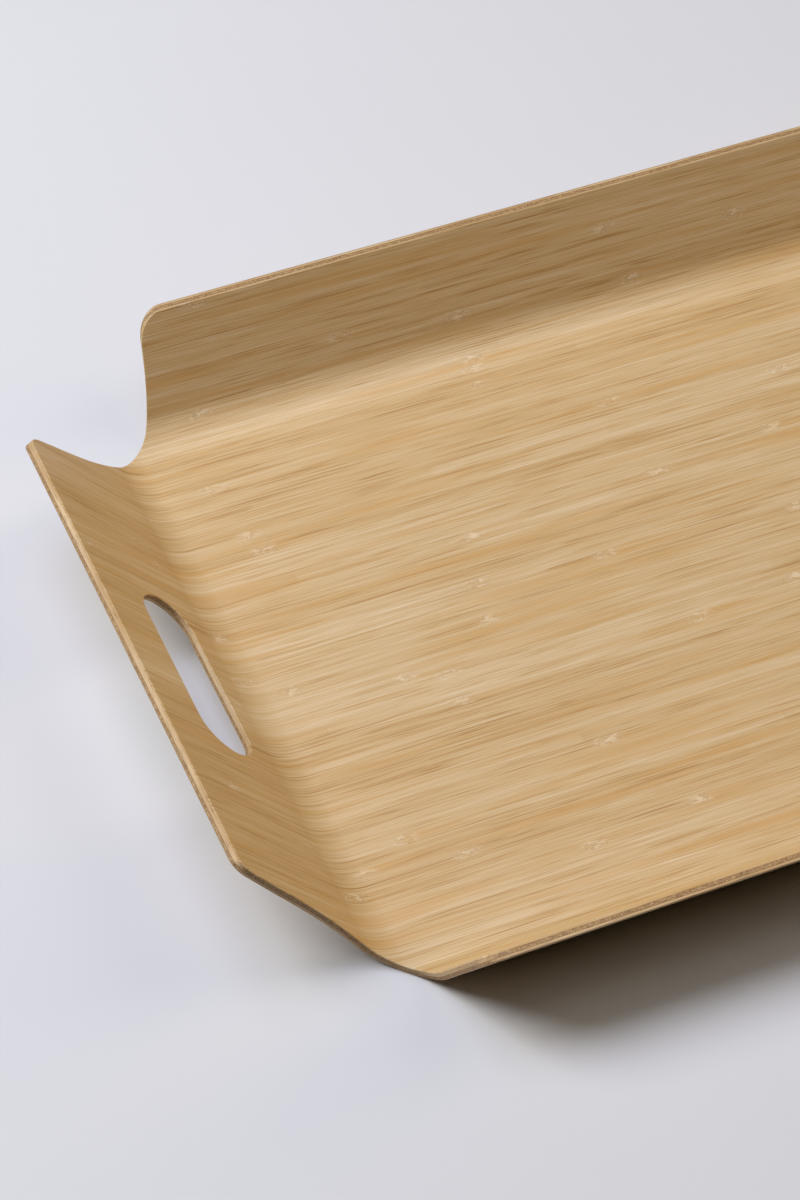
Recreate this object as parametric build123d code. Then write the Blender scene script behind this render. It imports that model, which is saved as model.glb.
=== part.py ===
# Serving tray: one sheet of moulded plywood, pressed from four plies.
# Millimetres. +X runs along the tray, +Y across it, +Z up.
# The origin is the centre of the tray's footprint, on the underside of the floor.
import os
from math import cos, radians, sin

from build123d import *

# Flat floor, measured between the lines where the bends start.
FLOOR_LENGTH = 421.8
FLOOR_WIDTH = 292.8

# Walls. The bend radius is that of the inner surface, and so is each wall's flat length.
BEND_RADIUS = 18.0
LONG_WALL_ANGLE = 55.5
LONG_WALL_FLAT = 42.8
END_WALL_ANGLE = 49.4
END_WALL_FLAT = 64.6

# The rims are sawn: level along the long walls, leaning down and outwards on the end walls.
LONG_RIM_CUT_ANGLE = 0.0
END_RIM_CUT_ANGLE = 20.0

# Plies, from the inner surface outwards.
FACE_VENEER_THICKNESS = 0.6
CROSS_PLY_THICKNESS = 1.6
LONG_PLY_THICKNESS = 1.0
BACK_VENEER_THICKNESS = 0.4
SHEET_THICKNESS = (
    FACE_VENEER_THICKNESS + CROSS_PLY_THICKNESS + LONG_PLY_THICKNESS + BACK_VENEER_THICKNESS
)

# Open corners. The edge of each cut-out is a curve in plan, given as distances outwards
# (along X, along Y) from the corner of the flat floor: over the end rim, down through the
# bends, and up over the long rim.
CORNER_CURVE = (
    (72.1, -28.9),
    (44.6, -21.2),
    (29.6, -17.1),
    (14.4, -8.5),
    (5.1, -0.6),
    (-2.3, 7.2),
    (-10.0, 23.1),
    (-13.2, 36.7),
    (-15.4, 50.3),
)
CORNER_LIMIT_X = CORNER_CURVE[0][0]
CORNER_LIMIT_Y = CORNER_CURVE[-1][1]

# Rounded rim corners. Each starts where the cut-out's edge is this far in from the end of
# the flat floor's side.
LONG_RIM_CORNER_RADIUS = 10.5
LONG_RIM_SETBACK = 12.1
END_RIM_CORNER_RADIUS = 5.0
END_RIM_SETBACK = 23.0

# Hand slots, one through the middle of each end wall, measured on the wall's slope.
SLOT_LENGTH = 89.6
SLOT_WIDTH = 29.8
SLOT_CENTRE_BELOW_RIM = 40.3

# Cutting tools reach this far past the surfaces they cut.
CLEARANCE = 12.0


def rim_point(angle, flat, cut_angle, depth):
    """Top corner of a wall's section on the surface that lies `depth` under the inner one."""
    a = radians(angle)
    c = radians(cut_angle)
    inner = Vector(
        BEND_RADIUS * sin(a) + flat * cos(a),
        BEND_RADIUS * (1 - cos(a)) + flat * sin(a),
    )
    return inner + Vector(cos(c), -sin(c)) * (depth / sin(a + c))


def wall_section(angle, flat, cut_angle, top, bottom):
    """Section of one ply through a bend and wall: X outwards, Y up from the inner floor."""
    a = radians(angle)
    centre = Vector(0, BEND_RADIUS)
    bend_end = Vector(sin(a), -cos(a))
    upper_end = centre + bend_end * (BEND_RADIUS + top)
    lower_end = centre + bend_end * (BEND_RADIUS + bottom)
    upper_rim = rim_point(angle, flat, cut_angle, top)
    lower_rim = rim_point(angle, flat, cut_angle, bottom)
    outline = Curve() + [
        CenterArc(centre, BEND_RADIUS + top, -90, angle),
        Line(upper_end, upper_rim),
        Line(upper_rim, lower_rim),
        Line(lower_rim, lower_end),
        CenterArc(centre, BEND_RADIUS + bottom, -90, angle),
        Line((0, -bottom), (0, -top)),
    ]
    return make_face(outline)


def long_wall_section(top, bottom):
    return wall_section(LONG_WALL_ANGLE, LONG_WALL_FLAT, LONG_RIM_CUT_ANGLE, top, bottom)


def end_wall_section(top, bottom):
    return wall_section(END_WALL_ANGLE, END_WALL_FLAT, END_RIM_CUT_ANGLE, top, bottom)


def floor_slab(top, bottom):
    slab = Box(FLOOR_LENGTH, FLOOR_WIDTH, bottom - top)
    return Pos(0, 0, -(top + bottom) / 2) * slab


def end_wall(top, bottom):
    """The wall at the +X end, as wide as the flat floor."""
    section = Plane.XZ * end_wall_section(top, bottom)
    return Pos(FLOOR_LENGTH / 2, 0, 0) * extrude(section, amount=FLOOR_WIDTH / 2, both=True)


def long_wall(top, bottom):
    """The wall on the +Y side, as long as the flat floor."""
    section = Plane.YZ * long_wall_section(top, bottom)
    return Pos(0, FLOOR_WIDTH / 2, 0) * extrude(section, amount=FLOOR_LENGTH / 2, both=True)


def corner_dish(top, bottom):
    """The dished corner that joins the two bends at the +X +Y corner of the floor."""
    section = Plane.XZ * long_wall_section(top, bottom)
    dish = revolve(section, axis=Axis.Z, revolution_arc=90)
    return Pos(FLOOR_LENGTH / 2, FLOOR_WIDTH / 2, 0) * dish


def corner_cutout():
    """Tool that opens the +X +Y corner, with upright sides."""
    edge = Spline(*CORNER_CURVE)
    outline = Curve() + [
        edge,
        Line(CORNER_CURVE[-1], (CORNER_LIMIT_X, CORNER_LIMIT_Y)),
        Line((CORNER_LIMIT_X, CORNER_LIMIT_Y), CORNER_CURVE[0]),
    ]
    height = rim_point(END_WALL_ANGLE, END_WALL_FLAT, END_RIM_CUT_ANGLE, 0).Y + CLEARANCE
    tool = extrude(make_face(outline), amount=height + SHEET_THICKNESS + CLEARANCE)
    return Pos(FLOOR_LENGTH / 2, FLOOR_WIDTH / 2, -SHEET_THICKNESS - CLEARANCE) * tool


def rounding_profile(radius):
    """The square corner that a round of this radius removes, its arc centred on the origin."""
    reach = radius + CLEARANCE
    corner = Pos(reach / 2, reach / 2) * Rectangle(reach, reach)
    return corner - Circle(radius)


def long_rim_rounding():
    """Tool that rounds the +X end of the long rim on the +Y side."""
    radius = LONG_RIM_CORNER_RADIUS
    rim = rim_point(LONG_WALL_ANGLE, LONG_WALL_FLAT, LONG_RIM_CUT_ANGLE, 0)
    tool = extrude(Plane.XZ * rounding_profile(radius), amount=rim.X, both=True)
    x = FLOOR_LENGTH / 2 - LONG_RIM_SETBACK - radius
    return Pos(x, FLOOR_WIDTH / 2 + rim.X, rim.Y - radius) * tool


def end_rim_rounding():
    """Tool that rounds the +Y end of the rim at the +X end."""
    radius = END_RIM_CORNER_RADIUS
    rim = rim_point(END_WALL_ANGLE, END_WALL_FLAT, END_RIM_CUT_ANGLE, 0)
    tool = extrude(Plane.YZ * rounding_profile(radius), amount=CLEARANCE, both=True)
    y = FLOOR_WIDTH / 2 - END_RIM_SETBACK - radius
    return Pos(FLOOR_LENGTH / 2 + rim.X, y, rim.Y - radius) * tool


def hand_slot():
    """Tool for the round-ended slot through the +X end wall, square to the wall."""
    a = radians(END_WALL_ANGLE)
    rim = rim_point(END_WALL_ANGLE, END_WALL_FLAT, END_RIM_CUT_ANGLE, 0)
    x = FLOOR_LENGTH / 2 + rim.X - SLOT_CENTRE_BELOW_RIM * cos(a)
    z = rim.Y - SLOT_CENTRE_BELOW_RIM * sin(a)
    wall = Plane(origin=(x, 0, z), x_dir=(0, 1, 0), z_dir=(sin(a), 0, -cos(a)))
    return extrude(wall * SlotOverall(SLOT_LENGTH, SLOT_WIDTH), amount=CLEARANCE, both=True)


def in_every_corner(solid):
    across = [solid, solid.mirror(Plane.XZ)]
    return across + [piece.mirror(Plane.YZ) for piece in across]


def at_both_ends(solid):
    return [solid, solid.mirror(Plane.YZ)]


def on_both_sides(solid):
    return [solid, solid.mirror(Plane.XZ)]


def ply(top, bottom):
    """One ply of the tray, between two depths under the inner surface."""
    blank = floor_slab(top, bottom)
    blank += at_both_ends(end_wall(top, bottom))
    blank += on_both_sides(long_wall(top, bottom))
    blank += in_every_corner(corner_dish(top, bottom))
    blank -= in_every_corner(corner_cutout())
    blank -= in_every_corner(long_rim_rounding())
    blank -= in_every_corner(end_rim_rounding())
    blank -= at_both_ends(hand_slot())
    return Pos(0, 0, SHEET_THICKNESS) * blank


def build_tray():
    thicknesses = {
        "face_veneer": FACE_VENEER_THICKNESS,
        "cross_ply": CROSS_PLY_THICKNESS,
        "long_ply": LONG_PLY_THICKNESS,
        "back_veneer": BACK_VENEER_THICKNESS,
    }
    plies = {}
    depth = 0.0
    for node, thickness in thicknesses.items():
        plies[node] = ply(depth, depth + thickness)
        depth += thickness
    return plies


os.makedirs("parts", exist_ok=True)
for node, solid in build_tray().items():
    export_step(solid, f"parts/{node}.step")
    size = solid.bounding_box().size
    print(f"{node}: {size.X:.1f} x {size.Y:.1f} x {size.Z:.1f} mm, {solid.volume:.0f} mm3")
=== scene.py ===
import math

import bpy
import numpy as np
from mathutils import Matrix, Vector
from mathutils.geometry import delaunay_2d_cdt


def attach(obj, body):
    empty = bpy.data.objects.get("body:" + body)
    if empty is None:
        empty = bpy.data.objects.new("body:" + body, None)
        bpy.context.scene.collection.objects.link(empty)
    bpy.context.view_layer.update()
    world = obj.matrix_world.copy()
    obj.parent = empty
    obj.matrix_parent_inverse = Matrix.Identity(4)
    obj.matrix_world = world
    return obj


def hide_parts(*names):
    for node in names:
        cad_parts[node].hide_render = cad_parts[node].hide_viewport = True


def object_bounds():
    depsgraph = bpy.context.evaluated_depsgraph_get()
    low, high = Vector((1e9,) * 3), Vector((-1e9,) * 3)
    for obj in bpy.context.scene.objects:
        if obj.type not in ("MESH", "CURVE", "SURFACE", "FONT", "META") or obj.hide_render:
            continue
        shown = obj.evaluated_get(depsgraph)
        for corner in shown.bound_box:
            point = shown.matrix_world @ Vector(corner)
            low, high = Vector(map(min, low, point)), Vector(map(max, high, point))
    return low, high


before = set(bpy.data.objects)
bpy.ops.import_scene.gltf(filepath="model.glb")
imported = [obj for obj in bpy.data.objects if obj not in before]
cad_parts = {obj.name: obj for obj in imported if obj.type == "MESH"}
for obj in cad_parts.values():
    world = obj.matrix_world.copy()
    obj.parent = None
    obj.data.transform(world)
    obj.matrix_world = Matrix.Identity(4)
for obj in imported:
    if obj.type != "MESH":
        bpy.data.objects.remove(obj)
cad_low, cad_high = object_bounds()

MM = 0.001
RIGHT_ANGLE = math.pi / 2

# The tray's shape, in millimetres and radians, the same as the CAD model's.
HALF_LENGTH = 210.9
HALF_WIDTH = 146.4
BEND_RADIUS = 18.0
LONG_ANGLE = math.radians(55.5)
LONG_FLAT = 42.8
LONG_CUT = 0.0
END_ANGLE = math.radians(49.4)
END_FLAT = 64.6
END_CUT = math.radians(20.0)
PLY_DEPTHS = (0.0, 0.6, 2.2, 3.2, 3.6)
SHEET = PLY_DEPTHS[-1]
CORNER_CURVE = (
    (72.1, -28.9),
    (44.6, -21.2),
    (29.6, -17.1),
    (14.4, -8.5),
    (5.1, -0.6),
    (-2.3, 7.2),
    (-10.0, 23.1),
    (-13.2, 36.7),
    (-15.4, 50.3),
)

# Rounded rim corners: how far each rounding reaches along the rim and down the cut-out's edge.
LONG_CORNER = (10.5, 12.9)
END_CORNER = (5.0, 6.5)

SLOT_HALF_LENGTH = 44.8
SLOT_HALF_WIDTH = 14.9
SLOT_BELOW_RIM = 40.3

# Radius to which the sheet's arrises are eased.
EASE = 0.35

# How finely the surfaces are divided.
EASE_STEPS = 4
BEND_STEPS = 26
FLAT_SPACING = 13.0
WALL_SPACING = 8.0
EDGE_CLEARANCE = 0.8
CUTOUT_POINTS = 900
END_RIM_POINTS = 16
END_CORNER_POINTS = 14
SIDE_POINTS = 120
LONG_CORNER_POINTS = 16
LONG_RIM_POINTS = 22
SLOT_END_POINTS = 29
WELD_DISTANCE = 1e-7


# ---------------------------------------------------------------- the pressed sheet


def profile(s, depth, angle):
    """Outward and upward place, and slope, at developed distance s past a bend's start."""
    if s <= 0:
        return s, -depth, 0.0
    bend = BEND_RADIUS * angle
    a = min(s / BEND_RADIUS, angle)
    run = max(s - bend, 0.0)
    out = (BEND_RADIUS + depth) * math.sin(a) + run * math.cos(a)
    up = BEND_RADIUS - (BEND_RADIUS + depth) * math.cos(a) + run * math.sin(a)
    return out, up, a


def developed(out, depth, angle):
    """The developed distance whose outward place is out."""
    if out <= 0:
        return out
    radius = BEND_RADIUS + depth
    reach = radius * math.sin(angle)
    if out < reach:
        return BEND_RADIUS * math.asin(out / radius)
    return BEND_RADIUS * angle + (out - reach) / math.cos(angle)


def corner_angle(theta):
    """Wall angle round a corner: the end wall's at 0, the long wall's at a right angle."""
    return END_ANGLE + (LONG_ANGLE - END_ANGLE) * theta / RIGHT_ANGLE


def surface(big_u, big_v, depth):
    """Place and outward normal of the sheet at developed place (U, V) and depth."""
    sign_u = math.copysign(1.0, big_u)
    sign_v = math.copysign(1.0, big_v)
    u = abs(big_u) - HALF_LENGTH
    v = abs(big_v) - HALF_WIDTH
    if u > 0 and v > 0:
        theta = math.atan2(v, u)
        out, up, a = profile(math.hypot(u, v), depth, corner_angle(theta))
        x, y = out * math.cos(theta), out * math.sin(theta)
        normal = (math.sin(a) * math.cos(theta), math.sin(a) * math.sin(theta), -math.cos(a))
    elif u > 0:
        x, up, a = profile(u, depth, END_ANGLE)
        y = v
        normal = (math.sin(a), 0.0, -math.cos(a))
    elif v > 0:
        y, up, a = profile(v, depth, LONG_ANGLE)
        x = u
        normal = (0.0, math.sin(a), -math.cos(a))
    else:
        x, y, up = u, v, -depth
        normal = (0.0, 0.0, -1.0)
    place = (sign_u * (HALF_LENGTH + x), sign_v * (HALF_WIDTH + y), up + SHEET)
    return place, (sign_u * normal[0], sign_v * normal[1], normal[2])


def flatten(x, y, depth):
    """Developed place of a point given in plan, as distances past the floor's corner."""
    if x > 0 and y > 0:
        theta = math.atan2(y, x)
        s = developed(math.hypot(x, y), depth, corner_angle(theta))
        return s * math.cos(theta), s * math.sin(theta)
    return developed(x, depth, END_ANGLE), developed(y, depth, LONG_ANGLE)


def spline_points(points, count):
    """Points along a natural cubic spline through the given ones."""
    p = np.array(points, float)
    t = np.concatenate([[0.0], np.cumsum(np.hypot(*np.diff(p, axis=0).T))])
    n = len(t)
    h = np.diff(t)
    system = np.zeros((n, n))
    right = np.zeros((n, 2))
    system[0, 0] = system[-1, -1] = 1.0
    for i in range(1, n - 1):
        system[i, i - 1 : i + 2] = h[i - 1], 2 * (h[i - 1] + h[i]), h[i]
        right[i] = 6 * ((p[i + 1] - p[i]) / h[i] - (p[i] - p[i - 1]) / h[i - 1])
    bend = np.linalg.solve(system, right)
    at = np.linspace(0, t[-1], count)
    k = np.clip(np.searchsorted(t, at) - 1, 0, n - 2)
    a = ((t[k + 1] - at) / h[k])[:, None]
    b = ((at - t[k]) / h[k])[:, None]
    curve = (a**3 - a) * bend[k] + (b**3 - b) * bend[k + 1]
    return a * p[k] + b * p[k + 1] + curve * (h[k][:, None] ** 2) / 6


CUTOUT = spline_points(CORNER_CURVE, CUTOUT_POINTS)


def resample(path, count):
    """The path with count points, evenly spaced."""
    path = np.array(path, float)
    t = np.concatenate([[0.0], np.cumsum(np.hypot(*np.diff(path, axis=0).T))])
    at = np.linspace(0, t[-1], count)
    return np.stack([np.interp(at, t, path[:, 0]), np.interp(at, t, path[:, 1])], 1)


def cut_path(path, distance):
    """The path from the given distance onwards."""
    t = np.concatenate([[0.0], np.cumsum(np.hypot(*np.diff(path, axis=0).T))])
    start = [np.interp(distance, t, path[:, 0]), np.interp(distance, t, path[:, 1])]
    return np.vstack([[start], path[t > distance]])


def round_corner(start, corner, end, count):
    """A quarter ellipse from start to end, tangent to the lines through corner."""
    weight = math.sqrt(0.5)
    t = np.linspace(0, 1, count)[:, None]
    a, b, c = (1 - t) ** 2, 2 * weight * t * (1 - t), t**2
    return (a * start + b * corner + c * end) / (a + b + c)


def rim_distance(angle, flat, cut, depth):
    """Developed distance from a bend's start to the rim, at a depth in the sheet."""
    return BEND_RADIUS * angle + flat + depth / math.tan(angle + cut)


def quarter_outline(depth):
    """The sheet's outline in the +X +Y quarter, from the end rim round to the long rim."""
    rim_u = rim_distance(END_ANGLE, END_FLAT, END_CUT, depth)
    rim_v = rim_distance(LONG_ANGLE, LONG_FLAT, LONG_CUT, depth)
    side = np.array([flatten(x, y, depth) for x, y in CUTOUT])
    side = side[(side[:, 0] < rim_u) & (side[:, 1] < rim_v)]
    first = side[0] + (side[0] - side[1]) * (rim_u - side[0, 0]) / (side[0, 0] - side[1, 0])
    last = side[-1] + (side[-1] - side[-2]) * (rim_v - side[-1, 1]) / (side[-1, 1] - side[-2, 1])
    side = np.vstack([[first], side, [last]])
    side = cut_path(side, END_CORNER[1])
    side = cut_path(side[::-1], LONG_CORNER[1])[::-1]
    end_start = first - np.array([0.0, END_CORNER[0]])
    long_end = last - np.array([LONG_CORNER[0], 0.0])
    end_middle = np.array([rim_u, -HALF_WIDTH])
    long_middle = np.array([-HALF_LENGTH, rim_v])
    parts = [
        np.linspace(end_middle, end_start, END_RIM_POINTS),
        round_corner(end_start, first, side[0], END_CORNER_POINTS)[1:],
        resample(side, SIDE_POINTS)[1:],
        round_corner(side[-1], last, long_end, LONG_CORNER_POINTS)[1:],
        np.linspace(long_end, long_middle, LONG_RIM_POINTS)[1:],
    ]
    return np.vstack(parts) + np.array([HALF_LENGTH, HALF_WIDTH])


def outline(depth):
    """The whole outline, anticlockwise, as developed places (U, V)."""
    quarter = quarter_outline(depth)
    left = quarter[::-1] * np.array([-1, 1])
    return np.vstack([quarter[:-1], left[:-1], -quarter[:-1], -left[:-1]])


def slot_outline(side):
    """A hand slot's outline, clockwise, in the wall at the side end (1 or -1)."""
    centre = HALF_LENGTH + rim_distance(END_ANGLE, END_FLAT, END_CUT, 0) - SLOT_BELOW_RIM
    straight = SLOT_HALF_LENGTH - SLOT_HALF_WIDTH
    turn = np.linspace(0, math.pi, SLOT_END_POINTS)
    arc = np.stack([np.cos(turn), np.sin(turn)], 1) * SLOT_HALF_WIDTH
    half = np.vstack([arc + [0, straight], [[-SLOT_HALF_WIDTH, straight / 3]]])
    half = np.vstack([half, [[-SLOT_HALF_WIDTH, -straight / 3]]])
    loop = np.vstack([half, -half])[::-1]
    if side < 0:
        loop = loop[::-1]
    return (loop + [centre, 0]) * [side, 1]


def inset(loop, distance):
    """The loop moved into the material, which lies on its left."""
    along = np.roll(loop, -1, axis=0) - np.roll(loop, 1, axis=0)
    along /= np.linalg.norm(along, axis=1)[:, None]
    return loop + np.stack([-along[:, 1], along[:, 0]], 1) * distance


def loops_at(depth, in_by):
    """The outline and the two slots' outlines at a depth, moved in by a distance."""
    loops = [outline(depth), slot_outline(1), slot_outline(-1)]
    return [inset(loop, in_by) if in_by else loop for loop in loops]


def lines_across(half_flat, angle, flat):
    """Places of the mesh lines across one direction: floor, bend and wall, both sides."""
    bend = BEND_RADIUS * angle
    floor = np.linspace(0, half_flat, round(half_flat / FLAT_SPACING) + 1)
    turn = half_flat + np.linspace(0, bend, BEND_STEPS + 1)[1:]
    wall = half_flat + bend + np.linspace(0, flat + SHEET, round(flat / WALL_SPACING) + 1)[1:]
    half = np.concatenate([floor, turn, wall])
    return np.concatenate([-half[:0:-1], half])


def inside(points, loop):
    """Which points lie inside the loop, by counting crossings."""
    x, y = points[:, 0][:, None], points[:, 1][:, None]
    x1, y1 = loop.T
    x2, y2 = np.roll(loop, -1, axis=0).T
    spans = (y1 > y) != (y2 > y)
    rise = np.where(y2 == y1, 1e-9, y2 - y1)
    return (spans & (x < (x2 - x1) * (y - y1) / rise + x1)).sum(1) % 2 == 1


def distance_to(points, loop):
    """How far each point is from the loop's nearest edge."""
    a = loop
    d = np.roll(loop, -1, axis=0) - a
    w = points[:, None, :] - a[None]
    t = np.clip((w * d[None]).sum(-1) / (d**2).sum(1), 0, 1)
    return np.linalg.norm(w - t[..., None] * d[None], axis=2).min(1)


def in_material(points, loops):
    return inside(points, loops[0]) & ~inside(points, loops[1]) & ~inside(points, loops[2])


def cap(loops):
    """Triangles that fill the loops: (places, triangles), the loops' places first."""
    us = lines_across(HALF_LENGTH, END_ANGLE, END_FLAT)
    vs = lines_across(HALF_WIDTH, LONG_ANGLE, LONG_FLAT)
    grid = np.stack(np.meshgrid(us, vs, indexing="ij"), -1).reshape(-1, 2)
    grid = grid[in_material(grid, loops)]
    for loop in loops:
        grid = grid[distance_to(grid, loop) > EDGE_CLEARANCE]
    places = np.vstack([*loops, grid])
    edges = []
    start = 0
    for loop in loops:
        n = len(loop)
        edges += [(start + i, start + (i + 1) % n) for i in range(n)]
        start += n
    made = delaunay_2d_cdt([Vector(p) for p in places], edges, [], 0, WELD_DISTANCE)
    originals = [o[0] for o in made[3]]
    triangles = np.array([[originals[i] for i in face] for face in made[2]])
    centres = places[triangles].mean(1)
    return places, triangles[in_material(centres, loops)]


def rows_between(top, bottom):
    """(depth, inset) of the rows round a ply's edge, eased where the sheet's arris is."""
    turn = np.linspace(0, RIGHT_ANGLE, EASE_STEPS + 1)
    eased = [(EASE * (1 - math.cos(t)), EASE * (1 - math.sin(t))) for t in turn]
    rows = eased if top == 0 else [(top, 0.0)]
    if bottom == SHEET:
        rows = [r for r in rows if r[0] < SHEET - EASE] + [(SHEET - d, i) for d, i in eased[::-1]]
    else:
        rows = rows + [(bottom, 0.0)]
    return rows


def edge_normals(upper, lower, ring):
    """Outward normals of an edge, from a ring's run and the way down through the sheet."""
    along = np.roll(ring, -1, axis=0) - np.roll(ring, 1, axis=0)
    normals = np.cross(lower - upper, along)
    return normals / np.linalg.norm(normals, axis=1)[:, None]


def end_grain_shares(loops):
    """How squarely an edge cuts fibres that run along U and along V, as squared cosines."""
    shares = []
    for loop in loops:
        along = np.roll(loop, -1, axis=0) - np.roll(loop, 1, axis=0)
        along /= np.linalg.norm(along, axis=1)[:, None]
        shares.append(along[:, ::-1] ** 2)
    return np.vstack(shares)


def anticlockwise(triangles, places):
    """The triangles, each turned to run anticlockwise in the developed plane."""
    a, b, c = (places[triangles[:, i]] for i in range(3))
    area = (b - a)[:, 0] * (c - a)[:, 1] - (b - a)[:, 1] * (c - a)[:, 0]
    turned = triangles.copy()
    turned[area < 0] = triangles[area < 0][:, ::-1]
    return turned


def lay_out(rows, layers):
    """Places, outward normals and developed places of every row, and where each row starts."""
    places, outward, grain, starts = [], [], [], []
    for (depth, _), layer in zip(rows, layers):
        starts.append(len(places))
        for u, v in layer:
            place, normal = surface(u, v, depth)
            places.append(place)
            outward.append(normal)
            grain.append((u, v, depth))
    return np.array(places), np.array(outward), np.array(grain), starts


def eased_normals(rows, starts, lengths, places, outward):
    """Normals that turn from the face to the edge over the eased arris."""
    normals = outward.copy()
    normals[: starts[1]] *= -1
    offset = 0
    for n in lengths:
        at = [slice(s + offset, s + offset + n) for s in starts]
        for row, (depth, in_by) in enumerate(rows):
            face = -outward[at[row]] if depth < SHEET / 2 else outward[at[row]]
            edge = edge_normals(places[at[0]], places[at[-1]], places[at[row]])
            edge_share = 1.0 - min(in_by / EASE, 1.0)
            face_share = math.sqrt(1.0 - edge_share**2)
            mixed = face * face_share + edge * edge_share
            normals[at[row]] = mixed / np.linalg.norm(mixed, axis=1)[:, None]
        offset += n
    return normals


def edge_quads(starts, lengths):
    """The faces of the sawn edges, between neighbouring rows."""
    faces = []
    offset = 0
    for n in lengths:
        for a, b in zip(starts, starts[1:]):
            for i in range(n):
                j = (i + 1) % n
                faces.append(tuple(k + offset for k in (a + i, b + i, b + j, a + j)))
        offset += n
    return faces


def set_vectors(mesh, name, vectors):
    layer = mesh.attributes.new(name, "FLOAT_VECTOR", "POINT")
    layer.data.foreach_set("vector", vectors.astype(np.float32).ravel())


def build_ply(name, top, bottom):
    """One ply as a closed mesh that follows the pressed sheet, with eased arrises."""
    rows = rows_between(top, bottom)
    rings = [loops_at(depth, in_by) for depth, in_by in rows]
    lengths = [len(loop) for loop in rings[0]]
    upper_places, upper_faces = cap(rings[0])
    lower_places, lower_faces = cap(rings[-1])
    upper_faces = anticlockwise(upper_faces, upper_places)
    lower_faces = anticlockwise(lower_faces, lower_places)[:, ::-1]
    layers = [upper_places] + [np.vstack(r) for r in rings[1:-1]] + [lower_places]
    places, outward, grain, starts = lay_out(rows, layers)
    normals = eased_normals(rows, starts, lengths, places, outward)

    faces = [tuple(int(i) for i in f) for f in upper_faces]
    faces += [tuple(int(i) + starts[-1] for i in f) for f in lower_faces]
    faces += edge_quads(starts, lengths)
    shares = np.zeros((len(places), 3))
    ring_shares = end_grain_shares(rings[0])
    for start in starts:
        shares[start : start + len(ring_shares), :2] = ring_shares

    mesh = bpy.data.meshes.new(name)
    mesh.from_pydata((places * MM).tolist(), [], faces)
    mesh.polygons.foreach_set("use_smooth", [True] * len(mesh.polygons))
    set_vectors(mesh, "grain", grain * MM)
    set_vectors(mesh, "end_grain", shares)
    mesh.normals_split_custom_set_from_vertices([Vector(n) for n in normals])
    mesh.update()
    piece = bpy.data.objects.new(name, mesh)
    bpy.context.scene.collection.objects.link(piece)
    return piece


# ---------------------------------------------------------------- materials


class Nodes:
    """Short calls for building one node tree."""

    def __init__(self, material):
        material.use_nodes = True
        self.tree = material.node_tree
        self.tree.nodes.clear()

    def add(self, kind, **settings):
        node = self.tree.nodes.new(kind)
        for key, value in settings.items():
            setattr(node, key, value)
        return node

    def feed(self, socket, value):
        if isinstance(value, bpy.types.NodeSocket):
            self.tree.links.new(value, socket)
        else:
            socket.default_value = value

    def math(self, operation, a, b=0.0, clamp=False):
        node = self.add("ShaderNodeMath", operation=operation, use_clamp=clamp)
        self.feed(node.inputs[0], a)
        self.feed(node.inputs[1], b)
        return node.outputs[0]

    def vector(self, x, y, z):
        node = self.add("ShaderNodeCombineXYZ")
        for socket, value in zip(node.inputs, (x, y, z)):
            self.feed(socket, value)
        return node.outputs[0]

    def noise(self, place, scale=1.0, detail=2.0, roughness=0.5):
        node = self.add("ShaderNodeTexNoise")
        self.feed(node.inputs["Vector"], place)
        self.feed(node.inputs["Scale"], scale)
        self.feed(node.inputs["Detail"], detail)
        self.feed(node.inputs["Roughness"], roughness)
        return node.outputs["Fac"]

    def random(self, x, y=0.0):
        node = self.add("ShaderNodeTexWhiteNoise", noise_dimensions="2D")
        self.feed(node.inputs["Vector"], self.vector(x, y, 0.0))
        return node.outputs["Value"]

    def ramp(self, value, low, high, to_low=0.0, to_high=1.0):
        """A smooth step from to_low to to_high as the value goes from low to high."""
        node = self.add("ShaderNodeMapRange", interpolation_type="SMOOTHSTEP")
        names = ("Value", "From Min", "From Max", "To Min", "To Max")
        for socket, v in zip(names, (value, low, high, to_low, to_high)):
            self.feed(node.inputs[socket], v)
        return node.outputs[0]

    def mix(self, share, a, b):
        """Colour a mixed with colour b."""
        node = self.add("ShaderNodeMix", data_type="RGBA")
        self.feed(node.inputs[0], share)
        for socket, colour in zip(node.inputs[6:8], (a, b)):
            plain = not isinstance(colour, bpy.types.NodeSocket)
            self.feed(socket, (*colour, 1.0) if plain else colour)
        return node.outputs[2]

    def bump(self, height, strength):
        node = self.add("ShaderNodeBump")
        node.inputs["Strength"].default_value = strength
        node.inputs["Distance"].default_value = BUMP_DISTANCE
        self.feed(node.inputs["Height"], height)
        return node.outputs[0]

    def surface(self, colour, roughness, normal=None, **settings):
        """The shader and the output; settings are the shader's own even values."""
        shader = self.add("ShaderNodeBsdfPrincipled")
        self.feed(shader.inputs["Base Color"], colour)
        self.feed(shader.inputs["Roughness"], roughness)
        if normal is not None:
            self.feed(shader.inputs["Normal"], normal)
        for key, value in settings.items():
            shader.inputs[key.replace("_", " ")].default_value = value
        out = self.add("ShaderNodeOutputMaterial")
        self.feed(out.inputs[0], shader.outputs[0])


# Linear colours of the bamboo, from its darkest fibres to its palest strips.
TONES = (
    (0.00, (0.35, 0.175, 0.050)),
    (0.22, (0.48, 0.285, 0.105)),
    (0.50, (0.57, 0.390, 0.192)),
    (0.74, (0.64, 0.475, 0.285)),
    (1.00, (0.74, 0.595, 0.410)),
)
WARM = (0.55, 0.315, 0.105)
NODE_PALE = (0.78, 0.64, 0.44)
NODE_DARK = (0.32, 0.165, 0.060)
GLUE = (0.15, 0.08, 0.03)
EDGE_PALE = (0.62, 0.44, 0.245)
EDGE_MIDDLE = (0.50, 0.315, 0.145)
EDGE_BROWN = (0.34, 0.195, 0.085)
EDGE_DARK = (0.17, 0.088, 0.034)
TABLE_DARK = (0.635, 0.63, 0.65)
TABLE_PALE = (0.65, 0.645, 0.665)

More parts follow.
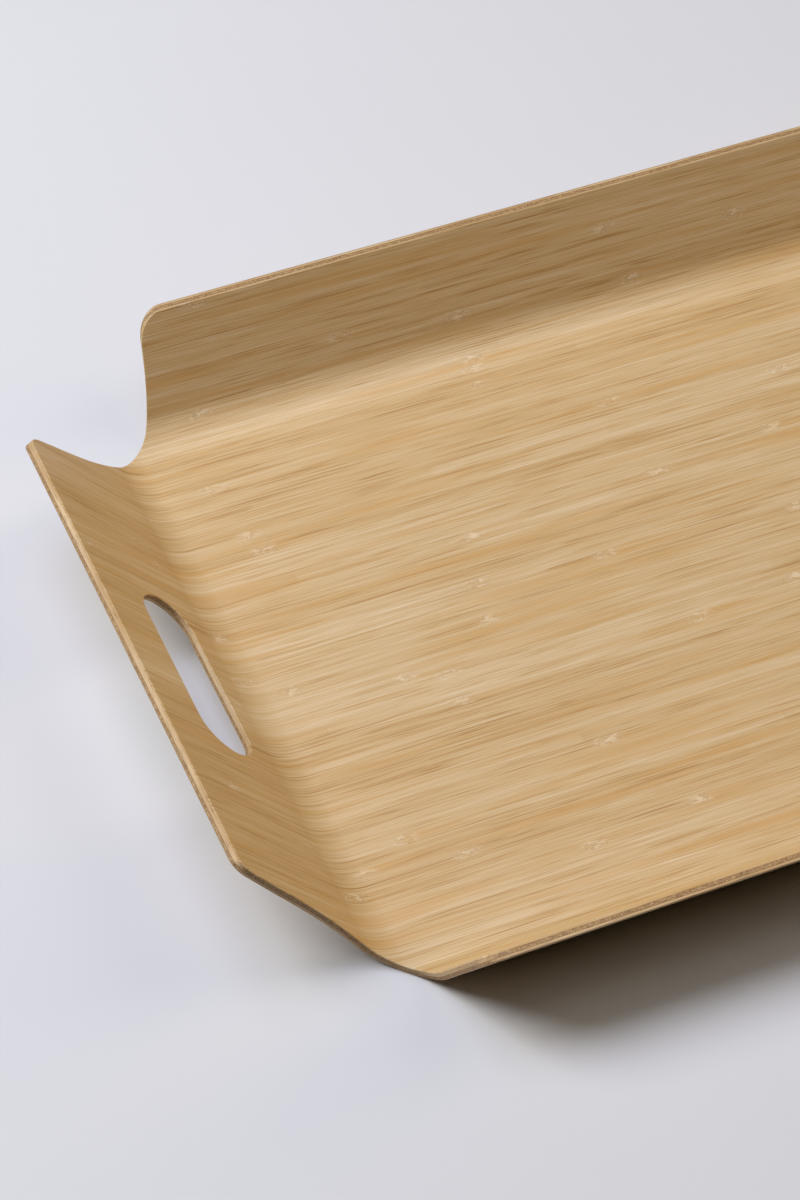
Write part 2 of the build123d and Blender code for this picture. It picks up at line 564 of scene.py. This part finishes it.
BUMP_DISTANCE = 0.0003

# Millimetres. Each strip of a veneer starts this much further along its fibres at most.
STRIP_WIDTH = 5.2
STRIP_SHIFT = 700.0
STRIP_WANDER = 2.6
FACE_SHIFT = 100.0

# Nodes: how far apart along a strip, the share that don't show, and how far each reaches.
NODE_PITCH = 330.0
NODE_HIDDEN = 0.35
NODE_LENGTH = 6.5
NODE_WIDTH = 3.2
NODE_RAGGEDNESS = 3.2
NODE_SWIRL = 5.0

# The veneer's noise: length and width of its streaks in millimetres, layer, detail, roughness.
VENEER_NOISE = {
    "wander": (160.0, 30.0, 3, 2.0, 0.5),
    "curl": (6.0, 2.2, 0, 3.0, 0.65),
    "broad": (380.0, 20.0, 2, 2.0, 0.5),
    "coarse": (260.0, 3.4, 1, 3.0, 0.5),
    "medium": (90.0, 1.05, 5, 3.0, 0.65),
    "fine": (40.0, 0.34, 8, 2.0, 0.6),
    "hair": (150.0, 0.85, 11, 1.0, 0.5),
    "hair_patch": (45.0, 3.0, 14, 2.0, 0.5),
    "split": (190.0, 2.1, 17, 1.0, 0.5),
    "dash": (22.0, 0.60, 20, 1.0, 0.5),
    "warm": (150.0, 7.0, 23, 2.0, 0.5),
}

# How much each of them lightens or darkens the veneer.
MIDDLE_TONE = 0.54
STRIP_GAIN = 0.11
TONE_GAINS = {"broad": 0.58, "coarse": 0.38, "medium": 0.64, "fine": 1.15}
HAIR_CUT = 0.42
SPLIT_CUT = 0.16
DASH_CUT = 0.15
SEAM_CUT = 0.16

# A sawn ply's noise: length, width and thickness in millimetres, layer, detail.
EDGE_NOISE = {
    "strand": (14.0, 0.75, 0.45, 0, 3.0),
    "pores": (9.0, 0.38, 0.30, 5, 1.0),
    "broad": (60.0, 8.0, 40.0, 9, 2.0),
    "wide": (30.0, 2.2, 1.2, 13, 2.0),
}
EDGE_ROUGHNESS = 0.6


def grain_place(n):
    """Developed place in millimetres: U along the tray, V across it, and depth."""
    return [n.math("MULTIPLY", out, 1 / MM) for out in parts_of(n, "grain")]


def parts_of(n, name):
    attribute = n.add("ShaderNodeAttribute", attribute_name=name)
    split = n.add("ShaderNodeSeparateXYZ")
    n.feed(split.inputs[0], attribute.outputs["Vector"])
    return split.outputs


def streaks(n, along, across, kind):
    """Noise drawn out along the grain."""
    length, width, layer, detail, roughness = VENEER_NOISE[kind]
    place = n.vector(n.math("DIVIDE", along, length), n.math("DIVIDE", across, width), float(layer))
    return n.noise(place, detail=detail, roughness=roughness)


def about_zero(n, value, gain):
    return n.math("MULTIPLY", n.math("SUBTRACT", value, 0.5), gain)


def darker(n, tone, mark, cut, clamp=False):
    return n.math("SUBTRACT", tone, n.math("MULTIPLY", mark, cut), clamp=clamp)


def ridge(n, value, half_width):
    """1 on the line where the value crosses one half, falling to 0 beside it."""
    away = n.math("ABSOLUTE", n.math("SUBTRACT", value, 0.5))
    return n.ramp(away, half_width, 0.0)


def tone_ramp(n, value):
    node = n.add("ShaderNodeValToRGB")
    n.feed(node.inputs[0], value)
    stops = node.color_ramp.elements
    while len(stops) < len(TONES):
        stops.new(0.5)
    for stop, (at, colour) in zip(stops, TONES):
        stop.position = at
        stop.color = (*colour, 1.0)
    return node.outputs[0]


def node_shape(n, past, within, curl):
    """How much of a node is at a place: 1 in its middle, with a ragged outline."""
    middle = about_zero(n, within, STRIP_WIDTH)
    reach = n.math("POWER", n.math("DIVIDE", past, NODE_LENGTH), 2.0)
    reach = n.math("ADD", reach, n.math("POWER", n.math("DIVIDE", middle, NODE_WIDTH), 2.0))
    reach = n.math("ADD", reach, about_zero(n, curl, NODE_RAGGEDNESS))
    return n.ramp(reach, 1.5, 0.0)


def fibre_layers(n, run, fibre):
    """The noise layers that follow a strip's fibres."""
    kinds = ("coarse", "medium", "fine")
    layers = {kind: streaks(n, run, fibre, kind) for kind in kinds}
    hair = ridge(n, streaks(n, run, fibre, "hair"), 0.045)
    patches = n.ramp(streaks(n, run, fibre, "hair_patch"), 0.42, 0.60)
    layers["hair"] = n.math("MULTIPLY", hair, patches)
    layers["split"] = ridge(n, streaks(n, run, fibre, "split"), 0.020)
    layers["dash"] = n.ramp(streaks(n, run, fibre, "dash"), 0.66, 0.76)
    return layers


def bamboo_face(name, seed):
    """Side-pressed bamboo veneer: narrow strips and fine fibres along U, scattered nodes."""
    material = bpy.data.materials.new(name)
    n = Nodes(material)
    along, across, _ = grain_place(n)
    across = n.math("ADD", across, FACE_SHIFT * seed)

    # Strips wander a little, and each has its own tone and its own run of fibres.
    wander = about_zero(n, streaks(n, along, across, "wander"), STRIP_WANDER)
    strips = n.math("DIVIDE", n.math("ADD", across, wander), STRIP_WIDTH)
    strip, within = n.math("FLOOR", strips), n.math("FRACT", strips)
    run = n.math("ADD", along, n.math("MULTIPLY", n.random(strip, 9.0), STRIP_SHIFT))

    # Where the strip's nearest node is, and whether it shows. Fibres swirl at a node.
    cells = n.math("DIVIDE", run, NODE_PITCH)
    cell = n.math("FLOOR", cells)
    past = about_zero(n, n.math("FRACT", cells), NODE_PITCH)
    there = n.math("GREATER_THAN", n.random(strip, cell), NODE_HIDDEN)
    curl = streaks(n, along, across, "curl")
    knot = n.math("MULTIPLY", node_shape(n, past, within, curl), there)
    swirl = n.math("MULTIPLY", about_zero(n, curl, NODE_SWIRL), knot)
    layers = fibre_layers(n, run, n.math("ADD", across, swirl))
    layers["broad"] = streaks(n, along, across, "broad")

    tone = n.math("ADD", MIDDLE_TONE, about_zero(n, n.random(strip, cell), STRIP_GAIN))
    for kind, gain in TONE_GAINS.items():
        tone = n.math("ADD", tone, about_zero(n, layers[kind], gain))
    tone = darker(n, tone, layers["hair"], HAIR_CUT)
    tone = darker(n, tone, layers["split"], SPLIT_CUT)
    tone = darker(n, tone, layers["dash"], DASH_CUT)
    seam = n.math("MULTIPLY", n.ramp(within, 0.08, 0.0), n.random(strip, 2.0))
    tone = darker(n, tone, seam, SEAM_CUT, clamp=True)
    colour = tone_ramp(n, tone)

    # Beyond a node the strip is warmer for a way; the node itself is pale with a dark squiggle.
    smear = n.math("MULTIPLY", n.ramp(past, 38.0, 2.0), n.ramp(past, -4.0, 2.0))
    smear = n.math("MULTIPLY", smear, n.math("MULTIPLY", there, n.random(strip, 6.0)))
    smear = n.math("MULTIPLY", smear, n.ramp(layers["coarse"], 0.62, 0.40))
    colour = n.mix(n.math("MULTIPLY", smear, 0.9), colour, WARM)
    warm = n.ramp(streaks(n, along, across, "warm"), 0.50, 0.72, 0.0, 0.60)
    colour = n.mix(warm, colour, WARM)
    pale = n.math("MULTIPLY", knot, n.ramp(curl, 0.40, 0.62))
    colour = n.mix(n.math("MULTIPLY", pale, 0.60), colour, NODE_PALE)
    squiggle = n.math("MULTIPLY", knot, ridge(n, curl, 0.04))
    colour = n.mix(n.math("MULTIPLY", squiggle, 0.50), colour, NODE_DARK)

    height = n.math("ADD", layers["medium"], n.math("MULTIPLY", layers["fine"], 0.5))
    height = darker(n, height, layers["hair"], 0.35)
    roughness = n.ramp(layers["medium"], 0.3, 0.8, 0.44, 0.56)
    normal = n.bump(height, 0.12)
    n.surface(colour, roughness, normal, Coat_Weight=0.10, Coat_Roughness=0.34)
    return material


def bamboo_edge(name, runs_along_u, glue_depths, layer):
    """A ply seen at its sawn edge: pale lines along the grain, brown dots across it."""
    material = bpy.data.materials.new(name)
    n = Nodes(material)
    u, v, depth = grain_place(n)
    along, across = (u, v) if runs_along_u else (v, u)
    share_u, share_v, _ = parts_of(n, "end_grain")
    end_on = n.ramp(share_u if runs_along_u else share_v, 0.15, 0.75)

    noises = {}
    for kind, (length, width, thick, seed, detail) in EDGE_NOISE.items():
        place = n.vector(
            n.math("DIVIDE", along, length),
            n.math("DIVIDE", across, width),
            n.math("ADD", n.math("DIVIDE", depth, thick), float(layer + seed)),
        )
        noises[kind] = n.noise(place, detail=detail, roughness=EDGE_ROUGHNESS)

    pale = n.mix(n.ramp(noises["broad"], 0.35, 0.65), EDGE_PALE, EDGE_MIDDLE)
    pale = n.mix(n.ramp(noises["strand"], 0.50, 0.78, 0.0, 0.65), pale, EDGE_BROWN)
    brown = n.mix(n.ramp(noises["wide"], 0.35, 0.65), EDGE_MIDDLE, EDGE_BROWN)
    brown = n.mix(n.ramp(noises["strand"], 0.42, 0.66, 0.0, 0.85), brown, EDGE_DARK)
    colour = n.mix(end_on, pale, brown)
    colour = n.mix(n.ramp(noises["pores"], 0.60, 0.72, 0.0, 0.75), colour, EDGE_DARK)
    for line in glue_depths:
        near = n.math("ABSOLUTE", n.math("SUBTRACT", depth, line))
        colour = n.mix(n.ramp(near, 0.17, 0.05, 0.0, 0.7), colour, GLUE)
    roughness = n.ramp(noises["strand"], 0.3, 0.8, 0.58, 0.75)
    n.surface(colour, roughness, n.bump(noises["pores"], 0.3), Specular_IOR_Level=0.3)
    return material


def backdrop_material():
    material = bpy.data.materials.new("backdrop")
    n = Nodes(material)
    place = n.add("ShaderNodeTexCoord").outputs["Object"]
    mottle = n.noise(place, scale=9.0, detail=2.0)
    n.surface(n.mix(mottle, TABLE_DARK, TABLE_PALE), 0.8, Specular_IOR_Level=0.2)
    return material


# ---------------------------------------------------------------- the tray

NODE_NAMES = ("face_veneer", "cross_ply", "long_ply", "back_veneer")
materials = {
    "face_veneer": bamboo_face("bamboo_face", 0),
    "cross_ply": bamboo_edge("bamboo_cross", False, (0.6, 2.2), 1),
    "long_ply": bamboo_edge("bamboo_long", True, (2.2, 3.2), 2),
    "back_veneer": bamboo_face("bamboo_back", 7),
}
for index, node in enumerate(NODE_NAMES):
    piece = build_ply("tray_" + node, PLY_DEPTHS[index], PLY_DEPTHS[index + 1])
    piece.data.materials.append(materials[node])
    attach(piece, "root")
    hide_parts(node)

# ---------------------------------------------------------------- floor, light and camera


# Metres from here on.
TABLE_REACH = 4.0


def backdrop():
    """A wide pale table top."""
    mesh = bpy.data.meshes.new("table_top")
    corners = [(-1, -1), (1, -1), (1, 1), (-1, 1)]
    places = [(x * TABLE_REACH, y * TABLE_REACH, cad_low.z) for x, y in corners]
    mesh.from_pydata(places, [], [(0, 1, 2, 3)])
    mesh.materials.append(backdrop_material())
    table = bpy.data.objects.new("table_top", mesh)
    bpy.context.scene.collection.objects.link(table)


def towards(heading, height):
    """Unit vector at a heading from +X and a height above the table, in degrees."""
    heading, height = math.radians(heading), math.radians(height)
    level = math.cos(height)
    return Vector((math.cos(heading) * level, math.sin(heading) * level, math.sin(height)))


def aimed(data, name, place, aim):
    """An object for the data at the place, its -Z axis towards the aim."""
    made = bpy.data.objects.new(name, data)
    bpy.context.scene.collection.objects.link(made)
    made.location = place
    made.rotation_euler = (Vector(aim) - Vector(place)).to_track_quat("-Z", "Y").to_euler()
    return made


# Each softbox: heading and height of the way to it in degrees, power in watts, and colour.
SOFTBOXES = {
    "key": (150.0, 50.0, 50.5, (0.98, 1.0, 1.0)),
    "back": (120.0, 70.0, 19.5, (0.68, 0.73, 1.0)),
    "right_low": (0.0, 15.0, 17.0, (1.0, 0.68, 0.16)),
    "right_high": (0.0, 50.0, 7.7, (1.0, 1.0, 0.87)),
    "front": (240.0, 70.0, 4.6, (1.0, 0.98, 0.98)),
}
SOFTBOX_AIM = Vector((-0.08, 0.0, 0.0))
SOFTBOX_DISTANCE = 2.4
SOFTBOX_SIZE = 1.3
for name, (heading, height, power, colour) in SOFTBOXES.items():
    light = bpy.data.lights.new(name, "AREA")
    light.shape = "DISK"
    light.size = SOFTBOX_SIZE
    light.energy = power
    light.color = colour
    aimed(light, name, SOFTBOX_AIM + towards(heading, height) * SOFTBOX_DISTANCE, SOFTBOX_AIM)

backdrop()
world = bpy.data.worlds.new("studio")
world.use_nodes = True
world.node_tree.nodes["Background"].inputs[1].default_value = 0.0
bpy.context.scene.world = world
bpy.context.scene.view_settings.view_transform = "Standard"

CAMERA_HEADING = -112.6
CAMERA_HEIGHT = 47.07
CAMERA_DISTANCE = 1.5463
CAMERA_AIM = Vector((-0.1421, 0.0270, 0.0036))
CAMERA_LENS = 112.46
CAMERA_SENSOR = 36.0
camera = bpy.data.cameras.new("camera")
camera.sensor_fit = "VERTICAL"
camera.sensor_height = CAMERA_SENSOR
camera.lens = CAMERA_LENS
place = CAMERA_AIM + towards(CAMERA_HEADING, CAMERA_HEIGHT) * CAMERA_DISTANCE
bpy.context.scene.camera = aimed(camera, "camera", place, CAMERA_AIM)
